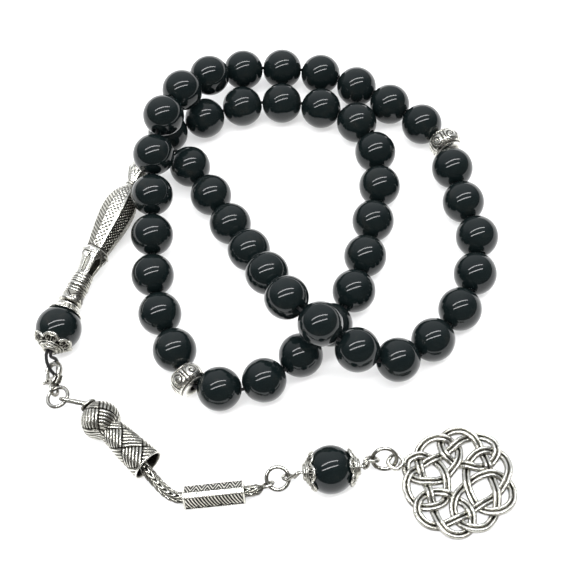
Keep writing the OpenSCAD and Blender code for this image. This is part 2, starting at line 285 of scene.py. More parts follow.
def ramp(tree, fac, stops):
    r = tree.nodes.new("ShaderNodeValToRGB")
    el = r.color_ramp.elements
    while len(el) > 1:
        el.remove(el[-1])
    el[0].position, el[0].color = stops[0][0], (*stops[0][1], 1)
    for pos, col in stops[1:]:
        el.new(pos).color = (*col, 1)
    return feed(tree, r, {"Fac": fac}).outputs["Color"]


def span(tree, fac, lo, hi, from_lo=0.0, from_hi=1.0):
    return feed(tree, tree.nodes.new("ShaderNodeMapRange"), {
        "Value": fac, "From Min": from_lo, "From Max": from_hi, "To Min": lo, "To Max": hi}).outputs["Result"]


def plus(tree, a, b):
    n = tree.nodes.new("ShaderNodeMath")
    n.operation = "ADD"
    return feed(tree, n, {0: a, 1: b}).outputs[0]


def bumped(tree, height, strength, distance):
    return feed(tree, tree.nodes.new("ShaderNodeBump"), {
        "Height": height, "Strength": strength, "Distance": distance}).outputs["Normal"]


def stone_material():
    """Polished black stone: faint brown and grey clouding under a glassy surface."""
    m, tree, shader = new_material("black_stone")
    cloud = ramp(tree, noise(tree, 260, 5, 0.6, 0.6), [
        (0.3, (0.0032, 0.0062, 0.0068)), (0.55, (0.0055, 0.0090, 0.0094)), (0.75, (0.012, 0.0135, 0.0125))])
    feed(tree, shader, {"Base Color": cloud,
                        "Roughness": span(tree, noise(tree, 900, 3), 0.05, 0.11, 0.3, 0.7),
                        "IOR": 1.42, "Normal": bumped(tree, noise(tree, 420, 2), 0.012, 0.0004)})
    return m


def silver_material(name, bright, mid, patina_and_shade_colour, low_rough, high_rough, bump=0.12):
    """Cast silvery metal, darkened where the dark value is high, by blackening and painted shade alike, and
    by fine pitting.
    """
    m, tree, shader = new_material(name)
    dark = tree.nodes.new("ShaderNodeAttribute")
    dark.attribute_name = "dark"
    fine, broad = noise(tree, 2600, 4, 0.6), noise(tree, 420, 4, 0.6)
    blackening_and_shade = plus(tree, dark.outputs["Fac"], span(tree, fine, -0.16, 0.16, 0.25, 0.75))
    blackening_and_shade = plus(tree, blackening_and_shade, span(tree, broad, -0.10, 0.14, 0.3, 0.75))
    wear = span(tree, fine, low_rough, high_rough, 0.3, 0.75)
    feed(tree, shader, {
        "Base Color": ramp(tree, blackening_and_shade, [
            (0.0, bright), (0.30, mid), (0.62, patina_and_shade_colour), (0.95, (0.012, 0.011, 0.010))]),
        "Metallic": 1.0, "Roughness": plus(tree, wear, span(tree, blackening_and_shade, 0.0, 0.22, 0.2, 1.0)),
        "Normal": bumped(tree, fine, bump, 0.00006)})
    return m


def thread_material():
    m, tree, shader = new_material("black_thread")
    fine = noise(tree, 5200, 4, 0.7)
    feed(tree, shader, {
        "Base Color": ramp(tree, fine, [(0.3, (0.002, 0.002, 0.0025)), (0.7, (0.009, 0.009, 0.010))]),
        "Roughness": span(tree, fine, 0.55, 0.85, 0.3, 0.7), "Sheen Weight": 0.03,
        "Normal": bumped(tree, fine, 0.5, 0.00008)})
    return m


BEAD, CAST, WIRE, THREAD = "bead", "antique_silver", "plated_wire", "thread"  # material slots
FINISH = {
    BEAD: stone_material(),
    CAST: silver_material(
        CAST, (0.82, 0.81, 0.755), (0.46, 0.45, 0.395), (0.13, 0.125, 0.105), 0.16, 0.34),
    WIRE: silver_material(
        WIRE, (0.78, 0.77, 0.72), (0.42, 0.41, 0.365), (0.15, 0.142, 0.12), 0.10, 0.22, 0.05),
    THREAD: thread_material()}

# -------- strand layout, as in part.scad
BEAD_D, GAP, DIV_T, CORD_D = 10.0, 0.12, 5.4, 0.8
ROUTE = [
    (-22, 33.5, 5), (-17, 24.5, 5), (-10.5, 11, 6.5), (-4.5, -2, 11.5), (-0.5, -10.5, 15),
    (6.5, -18, 15.5), (13.5, -22.5, 11.5), (22.5, -24, 7), (31.5, -19, 5), (41.5, -7.5, 5),
    (45.5, 7, 5), (42.5, 22.5, 5), (41.5, 35, 5), (33, 44.5, 5), (21.5, 54.5, 5),
    (8, 61, 5), (-7, 61.5, 6.5), (-19.5, 54.5, 12), (-27, 42, 15.5), (-30, 32.5, 12.5),
    (-31, 18.5, 8.5), (-31, -2, 5), (-26.5, -17, 5), (-24, -24, 5), (-16, -27, 5),
    (-6, -25.5, 5.5), (5.5, -17, 5.5), (15, -5.5, 6), (20, 9, 5), (24.5, 28.5, 5),
    (20.5, 43, 5), (7, 50, 5), (-8, 51, 5), (-27, 44.5, 5), (-37, 41, 5),
]
DIVIDER_SLOTS = (15, 31)
SLOTS = 47


def half_of(k):
    return (DIV_T if k in DIVIDER_SLOTS else BEAD_D) / 2


line = spline(ROUTE, 10)
line[:, 2] = np.maximum(line[:, 2], BEAD_D / 2)
centres = [line[0]]
j = 0
for k in range(1, SLOTS):
    c, r = centres[-1], half_of(k - 1) + half_of(k) + GAP
    while j + 2 < len(line) and np.linalg.norm(line[j + 1] - c) < r:
        j += 1
    a, d = line[j], line[j + 1] - line[j]
    w = a - c
    q = w @ d
    centres.append(a + d * (math.sqrt(q * q - (d @ d) * (w @ w - r * r)) - q) / (d @ d))
centres = np.array(centres)


def heading(k):
    steps = [unit(centres[k + 1] - centres[k])] if k + 1 < SLOTS else []
    steps += [unit(centres[k] - centres[k - 1])] if k else []
    return unit(sum(steps))


def mouth(k, sign):
    return centres[k] + sign * heading(k) * (half_of(k) + GAP / 2)


turns = ([mouth(0, -1)] + [(mouth(k - 1, 1) + mouth(k, -1)) / 2 for k in range(1, SLOTS)]
         + [mouth(SLOTS - 1, 1)])
turns = np.array(turns)

TASSEL_AT, TASSEL_TURN = vec(-53.2, -9, 5.25), 71
CAP_END = 6.1
seat = TASSEL_AT + (CAP_END + 0.6) * turned(TASSEL_TURN)
IMAM_AT, IMAM_TURN, IMAM_LEN = vec(seat[0], seat[1], 4.85), 65.5, 43.0
LANE = 0.43


def off_axis(at, deg, s, off):
    a = math.radians(deg)
    return at + s * turned(deg) + off * vec(math.sin(a), -math.cos(a), 0)


tip_to_first = [(-31.7, 38.2, 4.9), (-29.8, 38.8, 5), (-27.5, 38.6, 5), (-25.6, 38.6, 5)]
last_to_tip = [(-33.2, 42, 5), (-34, 40.3, 5), (-34, 38.4, 4.9)]
clasp_loop = [
    (-55.8, -15.3, 5.2), (-55.8, -16.7, 4.7), (-55.3, -18.2, 3.9), (-54.6, -19.1, 2.8),
    (-54.3, -19.1, 1.6), (-54.2, -18.5, 0.7), (-54.15, -17, 0.5), (-54.2, -15.7, 0.7),
    (-54.35, -15.15, 1.8), (-54.6, -15.35, 3.1), (-54.9, -15.6, 4.6),
]
thread_points = np.array([
    off_axis(TASSEL_AT, TASSEL_TURN, 0.5, LANE), off_axis(TASSEL_AT, TASSEL_TURN, CAP_END, LANE),
    off_axis(IMAM_AT, IMAM_TURN, 0.8, LANE), off_axis(IMAM_AT, IMAM_TURN, IMAM_LEN, LANE),
    *map(np.array, tip_to_first), *turns, *map(np.array, last_to_tip),
    off_axis(IMAM_AT, IMAM_TURN, IMAM_LEN, -LANE), off_axis(IMAM_AT, IMAM_TURN, 0.8, -LANE),
    off_axis(TASSEL_AT, TASSEL_TURN, CAP_END, -LANE), off_axis(TASSEL_AT, TASSEL_TURN, -CAP_END, -LANE),
    *map(np.array, clasp_loop),
    off_axis(TASSEL_AT, TASSEL_TURN, -CAP_END, LANE), off_axis(TASSEL_AT, TASSEL_TURN, -0.5, LANE),
], float)

# -------- thread: three twisted plies
ROPE_STEP, PLY_PITCH = 0.22, 2.4
rope_path = resample(spline(thread_points, 8), ROPE_STEP)
rope = Shape()
tube(rope, rope_path, CORD_D / 2, 12,
     ring=lambda k, a: 0.86 + 0.14 * np.abs(np.cos(1.5 * (a + k * ROPE_STEP * TAU / PLY_PITCH))))
rope_obj = rope.build("thread_plied", THREAD, "strand", "thread")

# -------- beads
def bead_surface(shape, at, axis, radius, bore, seed):
    """A turned ball with a rounded lip at each mouth of its bore."""
    lip = 0.22
    h = math.sqrt(radius**2 - (bore + lip)**2)
    start = math.asin((bore + lip) / radius)
    polar = np.linspace(start, PI - start, 42)
    q = np.linspace(0.2, 1, 5) * PI / 2
    lip_s, lip_r = h - 0.30 * (1 - np.cos(q)), bore + lip * (1 - np.sin(q))
    s = np.concatenate([radius * np.cos(polar), -lip_s, [0.5 - h, 0, h - 0.5], lip_s[::-1]])
    r = np.concatenate([radius * np.sin(polar), lip_r, [bore] * 3, lip_r[::-1]])
    shape.grid(around(at, axis, s[:, None], r[:, None], circle(56)[None] + seed), close_rows=True)


trios = {first: Shape() for first in (13, 28, 43)}  # threes of beads that are one node on the strand
for i in range(1, 46):
    k = i - 1 + (i - 1) // 15
    trio = next((shape for first, shape in trios.items() if first <= i < first + 3), None)
    shape = trio or Shape()
    bead_surface(shape, centres[k], turns[k + 1] - turns[k], BEAD_D / 2, 1.0, i * 0.7)
    if not trio:
        node = f"bead_{i:02d}"
        shape.build(node + "_polished", BEAD, node, node)
for first, shape in trios.items():
    node = f"beads_{first}_{first + 2}"
    shape.build(node + "_polished", BEAD, "strand", node)


# -------- dividers
def divider(shape, at, axis, twist):
    """A turned and cupped spacer: rolled rims round a belly of six framed curls."""
    rim = np.array([(2.28, 1.02), (2.40, 1.14), (2.46, 1.60), (2.50, 2.10), (2.50, 2.55), (2.38, 2.98),
                    (2.18, 3.12), (2.04, 3.06), (1.90, 3.20), (1.55, 3.54), (1.1, 3.78), (0.55, 3.89)])
    half = [tuple(p + (q - p) * t) for p, q in zip(rim, rim[1:]) for t in np.arange(0, 1, 0.12)]
    half += [(0.55 - 0.11 * k, 3.88 + 0.012 * k) for k in range(5)]
    prof = np.array(half + [(0, 3.93)] + [(-s, r) for s, r in reversed(half)])
    s, r = prof[:, :1], prof[:, 1:]
    count = 264
    a = circle(count)[None]
    x, y = np.broadcast_arrays((((a - twist) * 6 / TAU) % 1 - 0.5) * 2, s / 1.80)  # over a panel, -1 to 1
    inside = smooth(1.0, 0.93, np.abs(y))
    bar = bell(np.abs(x), 1.0, 0.10)
    rr, th = np.hypot(x * 1.10, y), np.arctan2(y, x * 1.10)
    curl = bell(((th / TAU - rr * 1.75) % 1) - 0.5, 0, 0.15) * smooth(0.84, 0.74, rr)
    hoop = bell(rr, 0.86, 0.07) * (np.abs(x) < 0.84)
    lift = inside * (0.16 * np.maximum.reduce([bar, hoop, 1 - curl]) - 0.12)
    cord_edge = bell(np.abs(s), 2.26, 0.12) * 0.05 * np.cos(a * 44)
    dark = inside * np.clip(1.05 * curl + 1.1 * bell(np.abs(x), 0.80, 0.055)
                            + 0.75 * bell(rr, 1.0, 0.05), 0, 1)
    # a dark groove at 1.96, and painted shade on the end faces, darker towards the bore
    dark = dark + bell(np.abs(s), 1.96, 0.09) + smooth(2.7, 1.2, r) * 0.7
    dark = dark + bell(np.abs(s), 2.26, 0.14) * 0.25 * (1 - np.cos(a * 44)) / 2
    lathe(shape, at, axis, prof, count, dark, lift + cord_edge)
    # the bore, lined dark as painted shade
    lathe(shape, at, axis, [(z, 1.02) for z in (2.28, 1.0, 0.0, -1.0, -2.28)], count, 0.8)


for n, slot_k, twist in ((1, 15, -0.21), (2, 31, 0.10)):
    shape = Shape()
    along = unit(turns[slot_k + 1] - turns[slot_k])
    divider(shape, centres[slot_k] - 0.3 * np.sign(along[1]) * along, along, twist)
    shape.build(f"divider_{n}_cast", CAST, f"divider_{n}", f"divider_{n}")

# -------- imam
IMAM_PROFILE = np.array([
    (0, 2.3), (0.15, 2.62), (0.5, 2.86), (0.9, 2.78), (2.4, 2.50), (2.75, 2.38), (2.9, 2.24), (7.6, 2.12),
    (8.1, 2.22), (9.0, 2.34), (12.2, 2.92), (12.9, 3.16), (13.3, 3.22), (13.45, 3.42), (14.3, 3.40),
    (14.7, 3.2), (14.95, 2.86), (15.3, 2.82), (16.3, 2.98), (18.8, 3.36), (21.8, 3.84), (25.0, 4.16),
    (27.5, 4.18), (29.3, 3.98), (31.2, 3.44), (32.6, 2.72), (33.6, 2.02), (34.3, 1.6), (34.7, 1.45),
    (34.95, 1.62), (35.15, 1.62), (35.5, 1.42), (36.4, 1.85), (37.8, 2.4), (38.9, 2.78), (39.6, 2.84),
    (40.4, 2.62), (41.8, 2.3), (42.6, 2.02), (43.0, 1.75)])
IMAM_FLATS = np.array([
    (0, 0), (8.0, 0), (8.4, 0.7), (9.0, 1), (13.1, 1), (13.3, 0.7), (14.7, 0.7), (14.95, 1), (33.0, 1),
    (33.6, 0.9), (34.3, 0.6), (34.7, 0), (35.5, 0.3), (36.2, 1), (42.2, 1), (42.6, 0.9), (43.0, 0.8)])


def imam_surface(shape):
    """Long ridged casting: panelled foot, turned rings, slotted stem, collar, scaled body, neck and tip."""
    L = IMAM_LEN
    s = np.concatenate([np.arange(0.0, L, 0.12), [L]])
    a = circle(264)
    S, A = np.meshgrid(s, a, indexing="ij")
    turned_r, H = np.interp(S, *IMAM_PROFILE.T), np.interp(S, *IMAM_FLATS.T)
    stem = S < 14.1  # the stem is six-sided, the body eight-sided
    sides = np.where(stem, 6, 8)
    ridge = np.where(stem, 25, 31.25) / 180 * PI
    step = TAU / sides
    local = (A - ridge) % step
    R = turned_r * (1 - H + H * np.cos(step / 2) / np.cos(local - step / 2))
    facet = np.floor(((A - ridge) % TAU) / step + 1e-6).astype(int) % sides
    x = np.tan(local - step / 2) / np.tan(step / 2)  # across a facet, -1 to 1
    xm = x * turned_r * np.tan(step / 2)  # the same in millimetres
    lift, dark = np.zeros_like(R), np.zeros_like(R)
    # foot: four pointed-arch panels, each with an eye
    zone = smooth(0.75, 0.95, S) * smooth(2.65, 2.45, S)
    xp = (((A - 0.10) * 4 / TAU) % 1 - 0.5) * 2
    arch = (S - 0.95) / 1.55 - 1.0 * (1 - np.abs(xp) ** 1.4)
    outline = bell(arch, 0, 0.10)
    eye = np.hypot(xp / 0.40, (S - 1.55) / 0.42)
    eye_ring = bell(eye, 1, 0.25) * (arch < 0.02)
    lift += zone * (0.08 * outline + 0.06 * eye_ring + 0.08 * bell(eye, 0, 0.5) - 0.05)
    dark += zone * np.clip(bell(arch, 0.20, 0.10) + bell(arch, -0.16, 0.07) * 0.8
                           + 0.7 * bell(eye, 0.62, 0.18) + 0.30 * (arch > 0), 0, 1)
    dark += 0.7 * bell(S, 2.78, 0.10) + 0.45 * bell(S, 0.78, 0.07)
    # turned rings: a broad one between fine pairs
    for c, w, h in ((3.12, 0.30, 0.26), (3.78, 0.30, 0.26), (4.72, 0.52, 0.40), (5.62, 0.30, 0.26),
                    (6.22, 0.30, 0.22), (6.95, 0.40, 0.24), (7.66, 0.24, 0.16)):
        u = (S - c) / w
        lift += np.where(np.abs(u) < 1, h * np.sqrt(np.clip(1 - u * u, 0, 1)), 0)
        dark += 0.62 * bell(np.abs(u), 1.1, 0.20)
    # stem: one long slot a side, gabled at the collar and between bright bars
    # (the first side's is wide, and its black is painted shade)
    zone = smooth(8.15, 8.45, S) * smooth(13.25, 13.0, S)
    gable = np.clip((S - 11.7) / 1.15, 0, 1)
    edge = np.abs(x) - np.where(facet == 0, 0.58, 0.36) * (1 - gable)
    slot = smooth(0.06, -0.08, edge)
    lift += zone * (-0.16 * slot + 0.07 * bell(edge, 0.14, 0.08))
    slot_shade_by_side = np.where(facet == 0, 1.05, 0.45)
    dark += zone * (0.62 * slot * slot_shade_by_side + 0.75 * bell(edge, 0.0, 0.07) + 0.25 * bell(edge, 0.42, 0.06))
    # collar
    dark += (0.75 * bell(S, 13.28, 0.09) + 1.2 * bell(S, 15.2 - 0.30 * np.sin(A), 0.14)
             + 0.30 * bell(S, 14.15, 0.05))
    # body: scales, dotted lattice and ticked bevels by turns, plain along every ridge
    zone = smooth(15.2, 15.7, S) * smooth(33.9, 33.2, S)
    kind = np.choose(facet, [1, 0, 2, 0, 1, 0, 2, 0])
    plain = np.choose(kind, [0.80, 0.84, 0.90])
    inner = smooth(plain, plain - 0.07, x * np.where(facet % 2 == 0, -1, 1)) * smooth(0.97, 0.93, np.abs(x))
    inner = np.where(kind == 0, smooth(0.66, 0.58, x) * smooth(0.97, 0.92, -x), inner)
    best = np.full_like(S, 9.0)
    for row in (0, 1):
        uu = (xm / 1.15 + 0.5 * row) % 1 - 0.5
        vv = (S / 1.25 + 0.5 * row) % 1 - 0.5
        best = np.minimum(best, np.hypot(uu * 1.25, vv + 0.35 * np.abs(uu)))
    scales = 1 - np.clip(best / 0.47, 0, 1) ** 4
    weft = np.minimum(np.abs(((xm + S) / 0.9) % 1 - 0.5), np.abs(((S - xm) / 0.9) % 1 - 0.5)) * 2
    dots = smooth(0.25, 0.62, weft)
    ticks = np.abs(np.sin(PI * (S + 0.7 * xm) / 0.92)) ** 1.2
    pattern = np.choose(kind, [scales, dots, ticks])
    lift += zone * inner * (0.20 * pattern - 0.12)
    depth = np.clip(1.15 - np.choose(kind, [1.6, 1.25, 1.2]) * pattern, 0, 1)
    dark += zone * inner * (depth * np.choose(kind, [0.85, 1.1, 0.50]) + np.choose(kind, [0.0, 0.10, 0.16]))
    # painted shade: the second facet is a little darker all over
    dark += zone * 0.12 * (facet == 1)
    dark += zone * 0.55 * bell(np.abs(x), 1.0, 0.03)
    # neck ring and arrow-shaped tip facets
    dark += 0.9 * bell(S, 34.72, 0.12) + 0.7 * bell(S, 35.4, 0.14)
    zone = smooth(36.2, 36.6, S) * smooth(42.2, 41.6, S)
    dia = np.abs(x) + np.abs((S - 39.2) / 2.6) * 0.95
    lift += zone * (0.06 * smooth(0.62, 0.45, dia) - 0.10 * bell(dia, 0.86, 0.07))
    dark += zone * (0.85 * bell(dia, 0.86, 0.07) + 0.40 * bell(dia, 0.5, 0.06)) + 0.6 * smooth(42.6, 43.0, S)
    outer = around(IMAM_AT, turned(IMAM_TURN), S, R + lift, A)
    # the bore, lined dark as painted shade
    bore_sr = np.array([(L, 1.3), (L, 1.04), (L - 0.3, 1.0), (L / 2, 1.0), (0.3, 1.0), (0, 1.04), (0, 1.5)])
    bore = around(IMAM_AT, turned(IMAM_TURN), bore_sr[:, :1], bore_sr[:, 1:], a[None])
    shape.grid(np.concatenate([outer, bore]), np.concatenate([dark, np.full(bore.shape[:2], 0.9)]),
               close_rows=True)


imam = Shape()
imam_surface(imam)
imam.build("imam_cast", CAST, "strand", "imam", blackening_and_shade=0.35)


# -------- tassel and charm beads with their caps
def petal_cap(shape, at, axis, sign, radius, phi0, reach_deg, slide=0.0):
    """Cup on a bead: a domed collar, a pierced skirt, looped petals with rolled rims, scrolls and grains."""
    petals, collar, reach = 6, math.radians(24), math.radians(reach_deg)
    at = at + sign * slide * unit(axis)

    def over(polar, phi, r):
        """A point over the bead at a polar angle from the axis."""
        return around(at, axis, sign * r * np.cos(polar), r * np.sin(polar), phi)

    def edge(phi):
        """Polar angle of the scalloped lip."""
        x = ((phi - phi0) * petals / TAU) % 1
        x = np.abs(x - np.round(x)) * 2
        return reach - (reach - collar) * 0.40 * x**2.2

    # collar: a ribbed dome pierced by the bore, with a flared neck
    pol = np.concatenate([np.linspace(0.20, 0.34, 6), np.linspace(0.36, collar + 0.03, 8)])
    P, A = np.meshgrid(pol, circle(144), indexing="ij")
    rib = (1 - np.cos(A * petals * 3)) / 2 * smooth(0.24, 0.36, P)
    dome = np.concatenate([over(P, A, radius + 0.56 - 0.10 * rib), over(P[::-1], A, radius + 0.14)])
    # the dome's underside, next to the bead, is painted dark as the shade inside the cap
    shape.grid(dome, np.concatenate([0.05 + 0.55 * rib**3, np.full(P.shape, 0.85)]), close_rows=True)
    neck = [(1.12, 0.1), (1.12, 0.75), (1.3, 0.92), (1.62, 0.92), (1.86, 0.7), (1.9, 0.3), (1.75, 0.1)]
    lathe(shape, at, axis, [(sign * (z + radius * math.cos(0.22) - 0.05), r) for r, z in neck], 144, 0.12)
    # skirt with pressed scrolls
    f, A = np.linspace(0, 1, 34)[:, None], circle(300)[None]
    P = collar + f * (edge(A) - collar)
    x, y = np.broadcast_arrays((((A - phi0) * petals / TAU + 0.5) % 1 - 0.5) * 2, f)
    u, v = np.abs(x) - 0.40, y - 0.52
    rr = np.hypot(u * 0.95, v * 1.1)
    coil = bell((np.arctan2(v, u) / TAU - rr * 2.1) % 1, 0.5, 0.20) * smooth(0.42, 0.34, rr)
    heart = bell(np.hypot(x / 0.30, (y - 0.86) / 0.12), 1, 0.4)
    vein = bell(x, 0, 0.07) * smooth(0.75, 0.6, y)
    h = np.maximum.reduce([coil, heart, vein])
    skirt = np.concatenate([over(P, A, radius + 0.16 + 0.20 * h), over(P[::-1], A, radius + 0.07)])
    # the skirt's underside likewise, painted dark as shade
    shape.grid(skirt, np.concatenate([(1 - h) * 0.85, np.full(P.shape, 0.9)]), close_rows=True)
    # hoops, the rolled lip and its grains
    ph = circle(240)
    for polar, stand, wire, sides, dark in ((collar + 0.01, 0.36, 0.24, 10, 0.03),
                                            (collar + 0.13, 0.36, 0.17, 10, 0.10),
                                            (edge(ph) - 0.02, 0.30, 0.27, 12, 0.0)):
        tube(shape, over(polar, ph, radius + stand), wire, sides, dark, closed=True)
    for k in range(petals):
        for dph, back_off, size in ((0, 0.03, 0.36), (0.5, 0.0, 0.27),
                                    (0.13, 0.10, 0.17), (-0.13, 0.10, 0.17)):
            phi = phi0 + (k + dph) * TAU / petals
            ball(shape, over(edge(phi) - back_off, phi, radius + 0.36), size, 0.0, 9)


def bell_cap(shape, at, axis):
    """Ribbed bell between the tassel bead and the imam: distance, radius, rib depth and darkness, where the
    darkness at the lip by the bead and on the inner rows is painted shade.
    """
    table = np.array([
        (4.00, 3.62, 0, 0.6), (3.92, 3.80, 0, 0.1), (3.98, 3.98, 0.3, 0), (4.18, 4.02, 0.5, 0),
        (4.36, 3.90, 1, 0.5), (4.5, 3.76, 1, 0), (4.8, 3.48, 1, 0), (5.2, 3.14, 1, 0),
        (5.5, 2.86, 0.6, 0.5), (5.62, 2.80, 0, 0.1), (5.78, 2.86, 0, 0), (5.92, 2.80, 0, 0),
        (6.02, 2.60, 0, 0.1), (6.06, 2.3, 0, 0.3), (6.08, 1.6, 0, 0.4), (6.08, 1.08, 0, 0.6),
        (5.9, 1.02, 0, 1), (5.35, 1.02, 0, 1), (5.28, 1.5, 0, 1), (4.98, 2.4, 0, 0.9), (4.4, 3.2, 0, 0.8)])
    count = 240
    wave = (1 - np.cos(circle(count)[None] * 18)) / 2
    ribs = table[:, 2:3]
    dark = table[:, 3:] + 0.45 * ribs * wave**3 - 0.25
    lathe(shape, at, axis, table[:, :2], count, dark, -0.14 * ribs * wave, close_rows=True)


TASSEL_AXIS = turned(TASSEL_TURN)
shape = Shape()
bead_surface(shape, TASSEL_AT, TASSEL_AXIS, 5.25, 1.1, 0.3)
shape.build("tassel_bead_polished", BEAD, "tassel_bead", "tassel_bead")
shape = Shape()
petal_cap(shape, TASSEL_AT, TASSEL_AXIS, -1, 5.25, 0.15, 56)
bell_cap(shape, TASSEL_AT, TASSEL_AXIS)
shape.build("tassel_caps_openwork", CAST, "tassel_bead", "tassel_caps", blackening_and_shade=0.3)

CHARM_AT, CHARM_AXIS = vec(6.2, -47.6, 5.25), turned(1.5)
shape = Shape()
bead_surface(shape, CHARM_AT, CHARM_AXIS, 5.25, 0.8, 0.9)
shape.build("charm_bead_polished", BEAD, "charm_bead", "charm_bead")
shape = Shape()
petal_cap(shape, CHARM_AT, CHARM_AXIS, -1, 5.25, 0.45, 52)
petal_cap(shape, CHARM_AT, CHARM_AXIS, 1, 5.25, 0.20, 48, slide=0.35)
shape.build("charm_caps_openwork", CAST, "charm_bead", "charm_caps", blackening_and_shade=0.35)


# -------- jump rings and eyes
def lean(deg):
    x, y, z = (math.radians(v) for v in deg)
    return np.array(Matrix.Rotation(z, 3, "Z") @ Matrix.Rotation(y, 3, "Y") @ Matrix.Rotation(x, 3, "X"))


def jump_ring(node, at, tilt, radius, cut):
    """A ring of wire whose two ends meet, a hair out of line, at the cut."""
    m = lean(tilt)
    count = 120
    t, drift = np.linspace(0.022, TAU - 0.022, count) + cut, 0.07 * np.linspace(-1, 1, count)**3
    wire = np.full(count, 0.44)
    wire[[0, -1]] *= 0.86
    shape = Shape()
    tube(shape, np.stack([radius * np.cos(t), radius * np.sin(t), drift], -1) @ m.T + at,
         wire, 18, 0.06, start=m[:, 2])
    shape.build(node + "_wire", WIRE, node, node, blackening_and_shade=0.8)


jump_ring("ring_upper", vec(-53.5, -24.85, 2.45), (-6, -14, 0), 2.45, 1.2)
jump_ring("ring_middle", vec(-5.25, -47.6, 2.15), (27.6, -4.4, -7.2), 2.45, 2.4)
jump_ring("ring_lower", vec(18.1, -45.15, 2.6), (53, -4, 0), 2.6, 4.0)


def teardrop(centre, radius, normal, apex):
    """Closed outline: an arc round the centre with two straight runs to the apex."""
    out = apex - centre
    n = unit(normal)
    out = out - (out @ n) * n
    d = np.linalg.norm(out)
    e1 = out / d
    e2 = np.cross(n, e1)
    half = math.acos(min(0.98, radius / d))
    t = np.linspace(half, TAU - half, 56)[:, None]
    arc = centre + radius * (np.cos(t) * e1 + np.sin(t) * e2)
    return np.concatenate([np.linspace(apex + 0.22 * e2, arc[0], 10)[:-1], arc,
                           np.linspace(arc[-1], apex - 0.22 * e2, 10)[1:]])


# charm pin: a wire through the bead, a teardrop eye on the left, a wrapped eye on the right
pin = Shape()
left_end, right_end = CHARM_AT - 7.2 * CHARM_AXIS, CHARM_AT + 7.2 * CHARM_AXIS
tube(pin, np.linspace(left_end, right_end, 30), 0.34, 12)
eye = teardrop(vec(-2.8, -47.7, 2.3), 1.30, lean((-45, 3, -8))[:, 2], left_end + 0.4 * CHARM_AXIS)
tube(pin, eye, 0.38, 14, 0.04)
m = lean((-48, 17, 0))
t = np.linspace(PI * 1.05, PI * 2.98, 50)[:, None]
loop = vec(15.45, -45.0, 2.55) + (1.3 * np.cos(t) * m[:, 0] + 1.3 * np.sin(t) * m[:, 1])
stem = spline([right_end - 0.6 * CHARM_AXIS, right_end + 0.1 * CHARM_AXIS, right_end + vec(0.55, 0.75, -0.85),
               loop[0]], 8)
tube(pin, np.concatenate([stem[:-1], loop]), 0.38, 14, 0.04)
k, wind = np.linspace(6, len(stem) - 2, 84), np.linspace(0, TAU * 4.2, 84)[:, None]
base, u, v = (sample(x, np.arange(len(stem)), k) for x in (stem, *frames(stem)[1:]))
tube(pin, base + 0.56 * (np.cos(wind) * u + np.sin(wind) * v), 0.25, 8, 0.08)
pin.build("charm_pin_wire", WIRE, "charm", "charm_pin", blackening_and_shade=0.55)


# -------- clasp, drawn in its own plane
CLASP_AT, CLASP_M = vec(-54.7, -18.5, 2.1), lean((0, -25, 3))
PIVOT = (-1.45, -2.1)


def clasp_place(p):
    return CLASP_AT + np.asarray(p, float) @ CLASP_M.T


def even_outline(corners, count):
    """A closed polygon with evenly spaced points and softened corners."""
    corners = np.array(corners)
    length = np.linalg.norm(np.roll(corners, -1, 0) - corners, axis=1).sum()
    p = resample(np.column_stack([corners, np.zeros(len(corners))]), 1e-3 + length / count,
                 closed=True)[:, :2]
    for _ in range(3):
        p = (np.roll(p, 1, 0) + 2 * p + np.roll(p, -1, 0)) / 4
    return p


def rounded_plate(shape, outline, z0, z1, bevel, dark):
    """A flat part with rounded edges from a closed outline."""
    e = np.roll(outline, -1, 0) - np.roll(outline, 1, 0)
    inward = np.stack([-e[:, 1], e[:, 0]], -1)
    inward /= np.linalg.norm(inward, axis=1)[:, None] + 1e-9
    q = np.linspace(0, PI / 2, 5)
    inset, sink = bevel * (1 - np.sin(q)), bevel * (1 - np.cos(q))
    levels = [*zip(inset, z0 + sink), *zip(inset[::-1], z1 - sink[::-1])]
    shape.grid(np.array([clasp_place(np.column_stack([outline + i * inward, np.full(len(outline), z)]))
                         for i, z in levels]), dark, caps=True)


def clasp_rod(shape, points, per, r0, r1, sides=14, dark=0.05, ring=None):
    """A tapering rod through points of the clasp's plane."""
    line = spline([(x, y, 0) for x, y in points], per)
    tube(shape, clasp_place(line), np.linspace(r0, r1, len(line)), sides, dark,
         ring=ring, start=CLASP_M[:, 2])


# hooked jaw, thick over the crown and tapering to its lip, flowing into the shoulders
body = Shape()
t = np.linspace(math.radians(-68), math.radians(196), 44)
hook = np.stack([1.72 * np.cos(t), 0.42 + 1.72 * np.sin(t) * np.where(t < 0, 1.25, 1), 0 * t], -1)
hook = np.concatenate([[[-0.2, -2.5, 0], [0.5, -2.15, 0]], hook])
r = np.interp(np.arange(len(hook)), [0, 2, 8, 26, 40, len(hook) - 1], [0.78, 0.74, 0.56, 0.58, 0.50, 0.36])
path = spline(hook, 2)
tube(body, clasp_place(path), np.interp(np.linspace(0, 1, len(path)), np.linspace(0, 1, len(r)), r), 16, 0.02,
     ring=lambda k, a: 1 + 0.34 * np.abs(np.cos(a)) ** 3, start=CLASP_M[:, 2])
cheek = even_outline([[1.7, -1.15], [1.5, -2.0], [0.72, -3.15], [-0.72, -3.15], [-1.62, -2.1], [-1.35, -1.7],
                      [0.2, -1.75], [0.9, -1.2]], 72)
core = even_outline([[1.6, -1.2], [1.4, -2.0], [0.62, -3.1], [-0.62, -3.1], [-0.45, -2.0], [0.55, -1.8]], 60)
rounded_plate(body, cheek, -0.88, -0.50, 0.18, 0.02)
rounded_plate(body, cheek, 0.50, 0.88, 0.18, 0.02)
rounded_plate(body, core, -0.8, 0.8, 0.2, 0.1)
